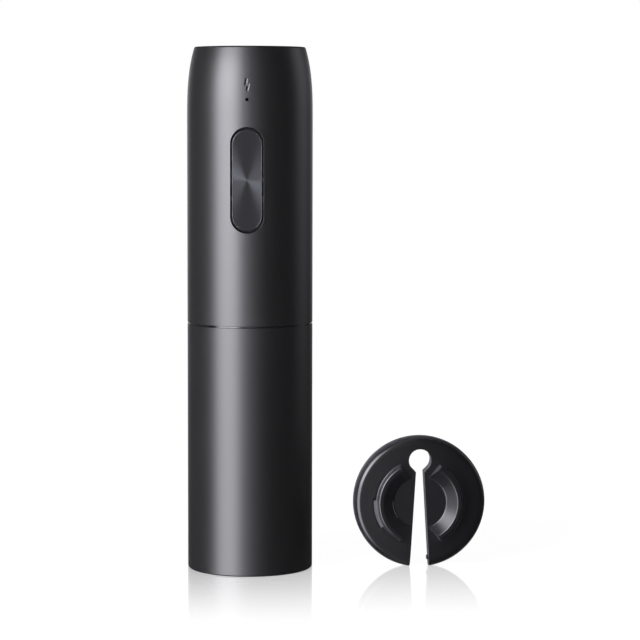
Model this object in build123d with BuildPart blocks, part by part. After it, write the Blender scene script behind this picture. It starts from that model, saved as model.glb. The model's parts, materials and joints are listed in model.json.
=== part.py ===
from build123d import *
import os
from math import atan, cos, degrees, pi, radians, sin, sqrt, tan

# An electric wine opener and its foil cutter, in millimetres.
# The opener stands on Z = 0 around the Z axis, with its switch facing -Y.
# Each piece is labelled and written as its own file.

os.makedirs("parts", exist_ok=True)

# Clearances
fit_gap = 0.1  # between pieces that are pushed together and stay
run_gap = 0.05  # radial, between a shaft and its bore
axial_play = 0.2  # between turning faces along their axis

# Shells
body_r = 26.75
body_h = 222.8
wall = 2.65
top_wall = 2.8
seam_z = 105.5  # middle of the groove between the shells
seam_gap = 0.7
seam_depth = 0.5
seam_break = 0.12  # chamfer of the shells' edges at the groove
base_break = 0.5  # chamfer of the lower edge
shoulder_h = 31.0  # height of the curve below the top
shoulder_drop = 3.2  # how far it closes in
top_edge_r = 0.9

# Mid frame
floor_drop = 6.5  # from the seam down to the floor's upper face
floor_t = 5.0
spigot_wall = 1.8
spigot_h = 8.0

# Neck guide
guide_wall = 2.4
flange_t = 3.6
ledge_t = 2.0
ledge_w = 2.5  # of the sleeve's ledge above the guide's flange
ledge_gap = 0.6
dock_h = 6.0
dock_step = 2.6  # from the dock's wall in to the neck's bore
neck_h = 16.0
neck_relief = 0.6
seat_z = 36.0  # where the bottle's lip stops
seat_t = 2.4
seat_w = 3.4  # how far the seat reaches in from the neck's bore
chamber_step = 0.4

# Corkscrew and hub
worm_r = 3.2  # radius of the wire's centre line
worm_wire_r = 1.4
worm_pitch = 9.5
worm_tip_z = 24.0
worm_point_h = 6.0  # length of the ground point
worm_point_r = 0.2
collar_h = 3.5
collar_lip = 0.5
hub_r = 6.5
hub_h = 11.0
hub_gap = 0.6
hub_pin_r = 1.2
shaft_r = 4.0

# Output bush
bush_wall = 2.0
bush_flange_w = 2.5
bush_flange_t = 1.2

# Gears: two planetary stages of the same size, with the ring gear fixed
sun_teeth = 9
planet_teeth = 18
planet_count = 3
pressure_angle = radians(20)
addendum_ratio = 0.8
dedendum_ratio = 1.07
backlash = 0.3
face_w = 5.0
planet_pin_r = 1.5
carrier_t = 2.6
carrier_rim = 3.5  # of the carrier plate, past the pins' circle
ring_wall = 2.6
ring_gap = 3.1  # between ring gear and spigot, where the cover's screws stand
cover_gap = 0.8
cover_t = 2.5
cover_screw_r = 1.0
cover_screw_gap = 0.4
cover_screw_bite = 3.6
cover_screw_head_r = 1.9
cover_screw_head_h = 1.6
cover_lug_r = 2.3
cover_screw_count = 3

# Motor
motor_gap = 2.4  # between the can and the control board in front of it
can_wall = 1.0
can_front_t = 1.2
motor_h = 38.0
endcap_t = 3.0
endcap_plug_h = 2.5
endcap_pocket_h = 1.5
motor_seat_h = 4.0
motor_seat_wall = 1.5
motor_screw_r = 1.25
motor_screw_circle_r = 8.0
motor_screw_head_r = 2.3
motor_screw_head_h = 1.2
motor_shaft_r = 1.15
motor_bush_r = 3.0
motor_bush_h = 3.0
air_gap = 0.5
magnet_t = 2.8
magnet_split = 9.0
magnet_lap = 2.0  # how far the magnets reach past the core at each end
core_slots = 5
core_slot_w = 2.0
core_slot_d = 5.0
commutator_r = 4.0
commutator_h = 4.0
commutator_front = 1.5  # from the core to the commutator
commutator_rear = 2.3  # from the commutator to the rear bush
pinion_h = 5.4
pinion_gap = 0.85  # around the pinion in the gearbox cover

# Battery
cell_gap = 0.4
cell_y = 3.0
contact_t = 0.5
contact_w = 6.0
holder_t = 2.5
holder_gap = 0.7  # between the upper plate's edge and the shell
holder_drop = 11.8  # from the shell's top down to the upper plate
column_t = 2.6
column_gap = 0.3
column_front = 2.0  # how far the columns reach in front of the axis
column_room = 7.0  # from the shell's inner face in to the columns

# Rocker switch
button_drop = 55.85  # from the shell's top down to its middle
opening_w = 13.9
opening_h = 44.2
opening_break = 0.1  # rounding of the opening's outer edge
carrier_gap = 0.45
plate_side_rim = 0.1
plate_end_rim = 0.55
plate_t = 0.9
plate_break = 0.35
plate_drop = 0.85  # from the shell's front line down to the plate's face
carrier_depth = 3.45
rocker_tilt = radians(2.2)
pivot_depth = 5.35  # from the shell's front line back to the pivot
pivot_pin_r = 0.9
pivot_hub_w = 10.0
pivot_hub_h = 6.0
pivot_hub_back = 2.2
ear_t = 2.0
ear_gap = 0.9
ear_h = 7.0
ear_back = 2.0
ear_sink = 0.2  # how far the ears run into the wall at its thinnest
foot_r = 1.3
foot_span = 15.0
foot_clear = 0.08

# Control board
board_drop = 8.95  # from the shell's front line back to its front face
board_t = 1.6
board_w = 18.0
board_below = 24.5  # how far it reaches below the rocker's middle
switch_w = 6.0
switch_h = 2.0
plunger_r = 1.7
plunger_h = 0.9
plunger_root = 0.9
plunger_room = 0.5  # free depth behind a plunger
chip_w = 7.0
chip_t = 1.0
board_screw_r = 0.8
board_screw_x = 6.0
board_screw_bite = 4.0
board_screw_head_r = 1.5
board_screw_head_h = 0.9

# Indicator and charge symbol
led_drop = 22.3  # from the shell's top down to its middle
led_w = 1.6
led_t = 0.8
led_hole_r = 0.72
guide_flange_r = 1.6
guide_flange_t = 1.2
guide_end_gap = 2.0  # how far the guide's end lies inside the pinhole
bolt_drop = 16.2  # from the shell's top down to its middle
bolt_h = 5.2
bolt_strokes = (  # middle across and up, and length of its two strokes and of the jog between them
    (-0.3, 1.05, 3.1),
    (0.5, -1.0, 3.1),
    (0.1, 0.0, 1.0),
)
bolt_left_w = 0.85  # width of a stroke's left wall
bolt_right_w = 0.6
bolt_depth = 0.3
bolt_slant = radians(11)  # of the strokes, from upright

# Charging socket
socket_drop = 26.8  # from the shell's top down to its middle
socket_w = 9.0
socket_h = 3.2
socket_wall = 0.3
socket_gap = 0.4
socket_end = 1.55  # how far the socket's mouth lies inside the shell's rear line
socket_depth = 6.5
tongue_w = 6.6
tongue_t = 0.7
charge_board_gap = 1.2  # between its corners and the shell
charge_board_t = 1.2
charge_board_h = 18.0

# Foil cutter
cutter_x = 72.5
cutter_y = 6.2
cutter_yaw = radians(5.5)
cutter_r = 28.4
cutter_t = 7.5
cutter_dome = 0.7  # how far the face falls from the jaws out to the rim
cutter_dome_r = 12.0  # rounding where it begins to fall
cutter_rim_r = 3.2  # rounding from the face to the side
cutter_back_edge = 0.6
keyhole_r = 4.85
keyhole_up = 18.15
throat_w = 3.6
mouth_w = 8.5
hinge_gap = 0.05  # on each side of the living hinge
jaw_gap = 0.2  # between the jaws and the dock
jaw_spare = 2.2  # between the jaws' tops and the dock's floor
jaw_draft = 0.05
jaw_top_w = 2.4
jaw_cone_w = 4.55
jaw_sweep = radians(80)  # to each side, before the ends are cut
jaw_end_slope = radians(50)  # of the ends, from level
jaw_end_off = 4.1  # from the disc's axis to the line of an end
jaw_end_draft = radians(10)
jaw_edge = 0.8  # rounding from the cone to the top
jaw_crest_r = 1.0  # rounding from the top to the outer face
jaw_toe_r = 0.9  # rounding at the foot of the cone
jaw_foot_r = 0.6  # rounding at the foot of the outer face
hook_w = 0.8
hook_h = 1.6
hook_t = 2.6
hook_back = 0.8
hook_up = 2.6
blade_start = radians(-3)  # from the jaw's middle
blade_sweep = radians(36)
blade_notch = radians(3)  # how far the left jaw's window runs past its blade
blade_slit = 0.45  # how far the window runs past it outwards
blade_t = 0.3
blade_proud = 0.05
blade_in = 0.25  # from the foot of the jaw's cone out to the cutting edge
blade_strip_w = 1.1
blade_strip_gap = 0.5
blade_sunk = 0.2
blade_depth = 2.6
blade_gap = 0.05

# Places that follow from the sizes above
inner_r = body_r - wall
spigot_r = inner_r - fit_gap
sleeve_top = seam_z - seam_gap / 2
housing_z = seam_z + seam_gap / 2
shoulder_z = body_h - shoulder_h
floor_top = seam_z - floor_drop
floor_z = floor_top - floor_t

cup_r = inner_r - ledge_w - ledge_gap
dock_r = cup_r - guide_wall  # counterbore that takes the foil cutter's jaws
neck_r = dock_r - dock_step
relief_r = neck_r + neck_relief
bell_r = relief_r + guide_wall
seat_r = neck_r - seat_w
chamber_r = seat_r + chamber_step
tube_r = chamber_r + guide_wall
cup_top = dock_h + guide_wall
seat_top = seat_z + seat_t

hub_top = floor_z - hub_gap
hub_z = hub_top - hub_h
collar_z = hub_z - collar_h
collar_r = worm_r + worm_wire_r + collar_lip
hub_pin_z = hub_z + hub_h / 2
bush_r = shaft_r + run_gap + bush_wall

ring_r = spigot_r - spigot_wall - ring_gap
ring_teeth = sun_teeth + 2 * planet_teeth
module = (ring_r - ring_wall) / (ring_teeth / 2 + dedendum_ratio)
planet_circle_r = module * (sun_teeth + planet_teeth) / 2
carrier_r = planet_circle_r + carrier_rim
carrier2_z = floor_top + bush_flange_t + axial_play
planet2_z = carrier2_z + carrier_t + axial_play
carrier1_z = planet2_z + face_w + axial_play
planet1_z = carrier1_z + carrier_t + axial_play
cover_z = planet1_z + face_w + cover_gap
cover_screw_circle_r = ring_r + cover_screw_gap + cover_screw_r

button_z = body_h - button_drop
led_z = body_h - led_drop
bolt_z = body_h - bolt_drop
chip_z = button_z + foot_span / 2
socket_z = body_h - socket_drop
board_front = body_r - board_drop
board_back = board_front - board_t

motor_z = cover_z + cover_t
endcap_z = motor_z + motor_h - endcap_t
can_r = board_back - motor_gap
can_bore_r = can_r - can_wall
core_r = can_bore_r - magnet_t - air_gap
pinion_way_r = module * (sun_teeth / 2 + addendum_ratio) + pinion_gap
rear_bush_z = endcap_z - endcap_plug_h + endcap_pocket_h
commutator_z = rear_bush_z - commutator_rear - commutator_h
magnet_z = motor_z + can_front_t + motor_bush_h
core_z = magnet_z + magnet_lap
core_h = commutator_z - commutator_front - core_z
magnet_h = core_h + 2 * magnet_lap

holder_z = motor_z + motor_h
holder_top_z = body_h - holder_drop
cells_z = holder_z + holder_t + contact_t
cell_h = holder_top_z - contact_t - cells_z
column_x = inner_r - column_room - column_t
cell_r = (column_x - column_gap - cell_gap / 2) / 2
cell_x = cell_r + cell_gap / 2

opening_front = sqrt(body_r**2 - (opening_w / 2) ** 2)
plate_front = body_r - plate_drop
carrier_front = plate_front - plate_break
carrier_back = carrier_front - carrier_depth
carrier_w = opening_w - 2 * carrier_gap
carrier_h = opening_h - 2 * carrier_gap
plate_w = carrier_w - 2 * plate_side_rim
plate_h = carrier_h - 2 * plate_end_rim
pivot_d = body_r - pivot_depth
ear_x = carrier_w / 2 + ear_gap
switch_front = board_front + switch_h
plunger_front = switch_front + plunger_h
foot_end = plunger_front + (foot_span + foot_r) * sin(rocker_tilt) + foot_clear
board_z = min(button_z - board_below, holder_z)
board_top = holder_top_z + holder_t
charge_board_w = 2 * (column_x + column_t)
charge_board_out = sqrt((inner_r - charge_board_gap) ** 2 - (charge_board_w / 2) ** 2)
charge_board_rear = charge_board_out - charge_board_t

cutter_z = sqrt(cutter_r**2 - (mouth_w / 2) ** 2)
jaw_foot_out = dock_r - jaw_gap
jaw_top_out = jaw_foot_out - jaw_draft
jaw_top_in = jaw_top_out - jaw_top_w
jaw_foot_in = jaw_top_in - jaw_cone_w
jaw_top = cutter_t + dock_h - jaw_spare
dome_r = jaw_foot_out + 2 * jaw_foot_r
flare = keyhole_r * sin(radians(45))
throat_up = keyhole_up - 2 * flare + throat_w / 2
blade_edge_r = jaw_foot_in + blade_in


def save(piece, name):
    """Label a finished piece and write it to its own file."""
    piece.part.label = name
    export_step(piece.part, f"parts/{name}.step")


def gear_outline(teeth, internal=False, phase=0.0):
    """Corners of a wheel's straight-flanked stub teeth, with one tooth centred on the angle phase."""
    side = -1 if internal else 1
    pitch_r = module * teeth / 2
    tip_r = pitch_r + side * addendum_ratio * module
    root_r = pitch_r - side * dedendum_ratio * module
    half_w = pi * module / 4 - backlash / 2
    tip_w = half_w - addendum_ratio * module * tan(pressure_angle)
    root_w = half_w + dedendum_ratio * module * tan(pressure_angle)
    corners = ((root_r, -root_w), (tip_r, -tip_w), (tip_r, tip_w), (root_r, root_w))
    points = []
    for tooth in range(teeth):
        middle = 2 * pi * tooth / teeth + phase
        for r, w in corners:
            points.append((r * cos(middle + w / r), r * sin(middle + w / r)))
    return points


def shoulder_r(inset, height):
    """Radius of the upper shell's face, less inset, at a height above the shoulder's start."""
    return body_r - inset - shoulder_drop * (max(height, 0) / shoulder_h) ** 3


def shoulder_curve(inset, height):
    """Curve from the start of the shoulder up to height, closing in with the cube of the height."""
    start_r = body_r - inset
    return Bezier(
        (start_r, shoulder_z),
        (start_r, shoulder_z + height / 3),
        (start_r, shoulder_z + height * 2 / 3),
        (shoulder_r(inset, height), shoulder_z + height),
    )


# Face of the shell at the charge symbol
bolt_rise = bolt_z - shoulder_z
bolt_fall = shoulder_r(0, bolt_rise - bolt_h / 2) - shoulder_r(0, bolt_rise + bolt_h / 2)
bolt_face = Plane(
    origin=(0, -shoulder_r(0, bolt_rise), bolt_z),
    x_dir=(1, 0, 0),
    z_dir=(0, -bolt_h, bolt_fall),
)
bolt_along = bolt_face.x_dir * sin(bolt_slant) + bolt_face.y_dir * cos(bolt_slant)
bolt_across = bolt_face.x_dir * cos(bolt_slant) - bolt_face.y_dir * sin(bolt_slant)

# Upper housing
with BuildPart() as upper_housing:
    with BuildSketch(Plane.XZ):
        with BuildLine():
            curve = shoulder_curve(0, shoulder_h)
            Polyline(curve @ 1, (0, body_h), (0, housing_z), (body_r - seam_break, housing_z))
            Line((body_r - seam_break, housing_z), (body_r, housing_z + seam_break))
            Line((body_r, housing_z + seam_break), curve @ 0)
        make_face()
    revolve(axis=Axis.Z)
    fillet(upper_housing.edges().filter_by(GeomType.CIRCLE).sort_by(Axis.Z)[-1], top_edge_r)
    with BuildSketch(Plane.XZ):
        with BuildLine():
            curve = shoulder_curve(wall, shoulder_h - top_wall)
            Polyline(curve @ 1, (0, body_h - top_wall), (0, housing_z), (inner_r, housing_z), curve @ 0)
        make_face()
    revolve(axis=Axis.Z, mode=Mode.SUBTRACT)
    # ears that carry the rocker's pivot pin
    with BuildSketch(Plane.XZ.offset(pivot_d - ear_back)):
        with Locations((ear_x + ear_t / 2, button_z), (-ear_x - ear_t / 2, button_z)):
            Rectangle(ear_t, ear_h)
    extrude(amount=inner_r + ear_sink - pivot_d + ear_back)
    with BuildSketch(Plane.YZ.offset(-ear_x - ear_t)):
        with Locations((-pivot_d, button_z)):
            Circle(pivot_pin_r)
    extrude(amount=2 * (ear_x + ear_t), mode=Mode.SUBTRACT)
    # switch opening
    with BuildSketch(Plane.XZ.offset(pivot_d)):
        with Locations((0, button_z)):
            SlotOverall(opening_h, opening_w, rotation=90)
    extrude(amount=body_r, mode=Mode.SUBTRACT)
    opening_edges = upper_housing.edges().filter_by(
        lambda edge: -edge.center().Y > opening_front - opening_break
        and abs(edge.center().Z - button_z) < opening_h / 2 + opening_break
    )
    fillet(opening_edges, opening_break)
    # indicator pinhole and charge symbol
    with BuildSketch(Plane.XZ.offset(pivot_d)):
        with Locations((0, led_z)):
            Circle(led_hole_r)
    extrude(amount=body_r, mode=Mode.SUBTRACT)
    for across, up, length in bolt_strokes:
        stroke = Plane(bolt_face.from_local_coords((across, up, 0)), x_dir=bolt_across, z_dir=bolt_along)
        with BuildSketch(stroke):
            with BuildLine():
                Polyline(
                    (0, bolt_depth),
                    (2 * bolt_right_w, -bolt_depth),
                    (-2 * bolt_left_w, -bolt_depth),
                    close=True,
                )
            make_face()
        extrude(amount=length / 2, both=True, mode=Mode.SUBTRACT)
    # charging opening
    with BuildSketch(Plane.XZ.offset(-charge_board_out)):
        with Locations((0, socket_z)):
            SlotOverall(socket_w + 2 * socket_gap, socket_h + 2 * socket_gap)
    extrude(amount=-body_r, mode=Mode.SUBTRACT)
save(upper_housing, "upper_housing")

# Lower sleeve
with BuildPart() as lower_sleeve:
    with BuildSketch(Plane.XZ):
        with BuildLine():
            Polyline(
                (inner_r, 0),
                (body_r - base_break, 0),
                (body_r, base_break),
                (body_r, sleeve_top - seam_break),
                (body_r - seam_break, sleeve_top),
                (inner_r, sleeve_top),
                (inner_r, flange_t + ledge_t),
                (cup_r + ledge_gap, flange_t + ledge_t),
                (cup_r + ledge_gap, flange_t),
                (inner_r, flange_t),
                close=True,
            )
        make_face()
    revolve(axis=Axis.Z)
save(lower_sleeve, "lower_sleeve")

# Mid frame: its collar lies in the groove between the shells
with BuildPart() as mid_frame:
    with BuildSketch(Plane.XY.offset(floor_z)):
        Circle(spigot_r)
    extrude(amount=housing_z + spigot_h - floor_z)
    with BuildSketch(Plane.XY.offset(sleeve_top)):
        Circle(body_r - seam_depth)
    extrude(amount=seam_gap)
    with BuildSketch(Plane.XY.offset(floor_top)):
        Circle(spigot_r - spigot_wall)
    extrude(amount=housing_z + spigot_h - floor_top, mode=Mode.SUBTRACT)
    with BuildSketch(Plane.XY.offset(floor_z)):
        Circle(bush_r)
    extrude(amount=floor_t, mode=Mode.SUBTRACT)
    with BuildSketch(Plane.XY.offset(floor_top)):
        with PolarLocations(cover_screw_circle_r, cover_screw_count, start_angle=90):
            Circle(cover_screw_r)
    extrude(amount=-cover_screw_bite, mode=Mode.SUBTRACT)
save(mid_frame, "mid_frame")

# Neck guide: dock, neck bore, lip seat and cork chamber in one liner
with BuildPart() as neck_guide:
    with BuildSketch(Plane.XZ):
        with BuildLine():
            Polyline(
                (dock_r, 0),
                (spigot_r, 0),
                (spigot_r, flange_t),
                (cup_r, flange_t),
                (cup_r, cup_top),
                (bell_r, cup_top),
                (bell_r, seat_top),
                (tube_r, seat_top),
                (tube_r, floor_z),
                (chamber_r, floor_z),
                (chamber_r, seat_top),
                (seat_r, seat_top),
                (seat_r, seat_z),
                (relief_r, seat_z),
                (relief_r, dock_h + neck_h),
                (neck_r, dock_h + neck_h),
                (neck_r, dock_h),
                (dock_r, dock_h),
                close=True,
            )
        make_face()
    revolve(axis=Axis.Z)
save(neck_guide, "neck_guide")

# Corkscrew: coil with a ground point, and the collar that stands under the hub
worm_lead = atan(worm_pitch / (2 * pi * worm_r))
coil_z = worm_tip_z + worm_point_h * sin(worm_lead) + worm_point_r * cos(worm_lead)
with BuildPart() as corkscrew:
    with BuildLine() as coil:
        Helix(worm_pitch, collar_z + collar_h / 2 - coil_z, worm_r, center=(0, 0, coil_z))
    coil_start = Plane(origin=coil.line @ 0, z_dir=coil.line % 0)
    with BuildSketch(coil_start):
        Circle(worm_wire_r)
    sweep(is_frenet=True)
    with BuildSketch(coil_start):
        Circle(worm_wire_r)
    with BuildSketch(coil_start.offset(-worm_point_h)):
        Circle(worm_point_r)
    loft()
    with BuildSketch(Plane.XY.offset(collar_z)):
        Circle(collar_r)
    extrude(amount=collar_h)
save(corkscrew, "corkscrew")

# Screw hub on the output shaft, and the cross pin through both
with BuildPart() as screw_hub:
    with BuildSketch(Plane.XY.offset(hub_z)):
        Circle(hub_r)
        Circle(shaft_r, mode=Mode.SUBTRACT)
    extrude(amount=hub_h)
    with BuildSketch(Plane.YZ.offset(-hub_r)):
        with Locations((0, hub_pin_z)):
            Circle(hub_pin_r)
    extrude(amount=2 * hub_r, mode=Mode.SUBTRACT)
save(screw_hub, "screw_hub")

hub_pin_length = 2 * sqrt(hub_r**2 - hub_pin_r**2)
with BuildPart() as hub_pin:
    with BuildSketch(Plane.YZ.offset(-hub_pin_length / 2)):
        with Locations((0, hub_pin_z)):
            Circle(hub_pin_r)
    extrude(amount=hub_pin_length)
save(hub_pin, "hub_pin")

# Flanged bush of the output shaft
with BuildPart() as output_bush:
    with BuildSketch(Plane.XY.offset(floor_z)):
        Circle(bush_r)
    extrude(amount=floor_t)
    with BuildSketch(Plane.XY.offset(floor_top)):
        Circle(bush_r + bush_flange_w)
    extrude(amount=bush_flange_t)
    with BuildSketch(Plane.XY.offset(floor_z)):
        Circle(shaft_r + run_gap)
    extrude(amount=floor_t + bush_flange_t, mode=Mode.SUBTRACT)
save(output_bush, "output_bush")

# Output carrier: plate of the second stage with the output shaft below it
with BuildPart() as output_carrier:
    with BuildSketch(Plane.XY.offset(carrier2_z)):
        Circle(carrier_r)
        with PolarLocations(planet_circle_r, planet_count):
            Circle(planet_pin_r, mode=Mode.SUBTRACT)
    extrude(amount=carrier_t)
    with BuildSketch(Plane.XY.offset(hub_z)):
        Circle(shaft_r)
    extrude(amount=carrier2_z - hub_z)
    with BuildSketch(Plane.YZ.offset(-shaft_r)):
        with Locations((0, hub_pin_z)):
            Circle(hub_pin_r)
    extrude(amount=2 * shaft_r, mode=Mode.SUBTRACT)
save(output_carrier, "output_carrier")

# First carrier: plate of the first stage with the second stage's sun wheel below it
with BuildPart() as first_carrier:
    with BuildSketch(Plane.XY.offset(carrier1_z)):
        Circle(carrier_r)
        with PolarLocations(planet_circle_r, planet_count):
            Circle(planet_pin_r, mode=Mode.SUBTRACT)
    extrude(amount=carrier_t)
    with BuildSketch(Plane.XY.offset(planet2_z)):
        with BuildLine():
            Polyline(*gear_outline(sun_teeth), close=True)
        make_face()
    extrude(amount=carrier1_z - planet2_z)
save(first_carrier, "first_carrier")

# Planet wheels and their pins, stage by stage
for stage, pin_z, wheel_z in ((1, carrier1_z, planet1_z), (2, carrier2_z, planet2_z)):
    with BuildPart() as planet_pins:
        with BuildSketch(Plane.XY.offset(pin_z)):
            with PolarLocations(planet_circle_r, planet_count):
                Circle(planet_pin_r)
        extrude(amount=wheel_z + face_w - pin_z)
    save(planet_pins, f"stage{stage}_pins")
    for number in range(planet_count):
        turn = 2 * pi * number / planet_count
        centre = (planet_circle_r * cos(turn), planet_circle_r * sin(turn), wheel_z)
        with BuildPart() as planet:
            with BuildSketch(Plane(origin=centre)):
                with BuildLine():
                    Polyline(*gear_outline(planet_teeth, phase=turn + pi / planet_teeth), close=True)
                make_face()
                Circle(planet_pin_r + run_gap, mode=Mode.SUBTRACT)
            extrude(amount=face_w)
        save(planet, f"stage{stage}_planet_{number + 1}")

# Ring gear of both stages
with BuildPart() as gear_ring:
    with BuildSketch(Plane.XY.offset(floor_top)):
        Circle(ring_r)
        with BuildLine():
            Polyline(*gear_outline(ring_teeth, internal=True), close=True)
        make_face(mode=Mode.SUBTRACT)
    extrude(amount=cover_z - floor_top)
save(gear_ring, "gear_ring")

# Gearbox cover with the motor's seat
motor_screw_spots = [(motor_screw_circle_r, 0), (-motor_screw_circle_r, 0)]
with BuildPart() as gearbox_cover:
    with BuildSketch(Plane.XY.offset(cover_z)):
        Circle(ring_r)
        with PolarLocations(cover_screw_circle_r, cover_screw_count, start_angle=90):
            Circle(cover_lug_r)
    extrude(amount=cover_t)
    with BuildSketch(Plane.XY.offset(motor_z)):
        Circle(can_r + fit_gap + motor_seat_wall)
        Circle(can_r + fit_gap, mode=Mode.SUBTRACT)
    extrude(amount=motor_seat_h)
    with BuildSketch(Plane.XY.offset(cover_z)):
        Circle(pinion_way_r)
        with Locations(*motor_screw_spots):
            Circle(motor_screw_r)
        with PolarLocations(cover_screw_circle_r, cover_screw_count, start_angle=90):
            Circle(cover_screw_r)
    extrude(amount=cover_t, mode=Mode.SUBTRACT)
    with BuildSketch(Plane.XY.offset(cover_z)):
        with Locations(*motor_screw_spots):
            Circle(motor_screw_head_r + fit_gap)
    extrude(amount=motor_screw_head_h, mode=Mode.SUBTRACT)
save(gearbox_cover, "gearbox_cover")

# Screws that clamp cover and ring gear to the mid frame
with BuildPart() as gearbox_screws:
    with BuildSketch(Plane.XY.offset(floor_top - cover_screw_bite)):
        with PolarLocations(cover_screw_circle_r, cover_screw_count, start_angle=90):
            Circle(cover_screw_r)
    extrude(amount=motor_z - floor_top + cover_screw_bite)
    with BuildSketch(Plane.XY.offset(motor_z)):
        with PolarLocations(cover_screw_circle_r, cover_screw_count, start_angle=90):
            Circle(cover_screw_head_r)
    extrude(amount=cover_screw_head_h)
save(gearbox_screws, "gearbox_screws")

# Screws that hold the motor to the cover
with BuildPart() as motor_screws:
    with BuildSketch(Plane.XY.offset(cover_z)):
        with Locations(*motor_screw_spots):
            Circle(motor_screw_head_r)
    extrude(amount=motor_screw_head_h)
    with BuildSketch(Plane.XY.offset(cover_z + motor_screw_head_h)):
        with Locations(*motor_screw_spots):
            Circle(motor_screw_r)
    extrude(amount=cover_t - motor_screw_head_h + can_front_t)
save(motor_screws, "motor_screws")

# Motor can
with BuildPart() as motor_can:
    with BuildSketch(Plane.XY.offset(motor_z)):
        Circle(can_r)
    extrude(amount=motor_h - endcap_t)
    with BuildSketch(Plane.XY.offset(motor_z + can_front_t)):
        Circle(can_bore_r)
    extrude(amount=motor_h, mode=Mode.SUBTRACT)
    with BuildSketch(Plane.XY.offset(motor_z)):
        Circle(motor_bush_r)
        with Locations(*motor_screw_spots):
            Circle(motor_screw_r)
    extrude(amount=can_front_t, mode=Mode.SUBTRACT)
save(motor_can, "motor_can")

# End cap with the pocket of the rear bush
with BuildPart() as motor_endcap:
    with BuildSketch(Plane.XY.offset(endcap_z)):
        Circle(can_r)
    extrude(amount=endcap_t)
    with BuildSketch(Plane.XY.offset(endcap_z - endcap_plug_h)):
        Circle(can_bore_r - fit_gap)
    extrude(amount=endcap_plug_h)
    with BuildSketch(Plane.XY.offset(endcap_z - endcap_plug_h)):
        Circle(motor_bush_r)
    extrude(amount=rear_bush_z + motor_bush_h - endcap_z + endcap_plug_h, mode=Mode.SUBTRACT)
    with BuildSketch(Plane.XY.offset(endcap_z - endcap_plug_h)):
        Circle(commutator_r + air_gap)
    extrude(amount=rear_bush_z - endcap_z + endcap_plug_h, mode=Mode.SUBTRACT)
save(motor_endcap, "motor_endcap")

# Front and rear bushes of the rotor
with BuildPart() as motor_bushes:
    for bush_z in (motor_z, rear_bush_z):
        with BuildSketch(Plane.XY.offset(bush_z)):
            Circle(motor_bush_r)
            Circle(motor_shaft_r + run_gap, mode=Mode.SUBTRACT)
        extrude(amount=motor_bush_h)
save(motor_bushes, "motor_bushes")

# Pair of magnets against the can
with BuildPart() as motor_magnets:
    with BuildSketch(Plane.XY.offset(magnet_z)):
        Circle(can_bore_r)
        Circle(can_bore_r - magnet_t, mode=Mode.SUBTRACT)
        Rectangle(2 * can_r, magnet_split, mode=Mode.SUBTRACT)
    extrude(amount=magnet_h)
save(motor_magnets, "motor_magnets")

# Rotor: shaft, slotted core, commutator and pinion
with BuildPart() as rotor_shaft:
    with BuildSketch(Plane.XY.offset(planet1_z)):
        Circle(motor_shaft_r)
    extrude(amount=rear_bush_z + motor_bush_h - axial_play - planet1_z)
save(rotor_shaft, "rotor_shaft")

with BuildPart() as rotor_core:
    with BuildSketch(Plane.XY.offset(core_z)):
        Circle(core_r)
        Circle(motor_shaft_r, mode=Mode.SUBTRACT)
        with PolarLocations(core_r - core_slot_d / 2, core_slots):
            Rectangle(core_slot_d, core_slot_w, mode=Mode.SUBTRACT)
    extrude(amount=core_h)
save(rotor_core, "rotor_core")

with BuildPart() as commutator:
    with BuildSketch(Plane.XY.offset(commutator_z)):
        Circle(commutator_r)
        Circle(motor_shaft_r, mode=Mode.SUBTRACT)
    extrude(amount=commutator_h)
save(commutator, "commutator")

with BuildPart() as motor_pinion:
    with BuildSketch(Plane.XY.offset(planet1_z)):
        with BuildLine():
            Polyline(*gear_outline(sun_teeth), close=True)
        make_face()
        Circle(motor_shaft_r, mode=Mode.SUBTRACT)
    extrude(amount=pinion_h)
save(motor_pinion, "motor_pinion")

# Battery holder: two plates and two columns, cut flat in front for the control board
holder_top_r = shoulder_r(wall, board_top - shoulder_z) - holder_gap
with BuildPart() as battery_holder:
    for plate_z, plate_r in ((holder_z, spigot_r), (holder_top_z, holder_top_r)):
        with BuildSketch(Plane.XY.offset(plate_z)):
            Circle(plate_r)
            with Locations((0, -board_back - body_r)):
                Rectangle(2 * body_r, 2 * body_r, mode=Mode.SUBTRACT)
        extrude(amount=holder_t)
    with BuildSketch(Plane.XY.offset(holder_z + holder_t)):
        for side in (-1, 1):
            with Locations((side * (column_x + column_t / 2), (charge_board_rear - column_front) / 2)):
                Rectangle(column_t, charge_board_rear + column_front)
    extrude(amount=holder_top_z - holder_z - holder_t)
    for screw_z in (holder_z + holder_t / 2, holder_top_z + holder_t / 2):
        with BuildSketch(Plane.XZ.offset(board_back)):
            with Locations((-board_screw_x, screw_z), (board_screw_x, screw_z)):
                Circle(board_screw_r)
        extrude(amount=-board_screw_bite, mode=Mode.SUBTRACT)
    with BuildSketch(Plane.XZ.offset(-charge_board_rear)):
        for side in (-1, 1):
            with Locations((side * (column_x + column_t / 2), socket_z)):
                Circle(board_screw_r)
    extrude(amount=board_screw_bite, mode=Mode.SUBTRACT)
save(battery_holder, "battery_holder")

with BuildPart() as battery_cells:
    with BuildSketch(Plane.XY.offset(cells_z)):
        with Locations((-cell_x, cell_y), (cell_x, cell_y)):
            Circle(cell_r)
    extrude(amount=cell_h)
save(battery_cells, "battery_cells")

# Bridge under the cells and a pad on top of each
with BuildPart() as battery_contacts:
    with BuildSketch(Plane.XY.offset(holder_z + holder_t)):
        with Locations((0, cell_y)):
            Rectangle(2 * cell_x + contact_w, contact_w)
    extrude(amount=contact_t)
    with BuildSketch(Plane.XY.offset(cells_z + cell_h)):
        with Locations((-cell_x, cell_y), (cell_x, cell_y)):
            Rectangle(contact_w, contact_w)
    extrude(amount=contact_t)
save(battery_contacts, "battery_contacts")

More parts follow.
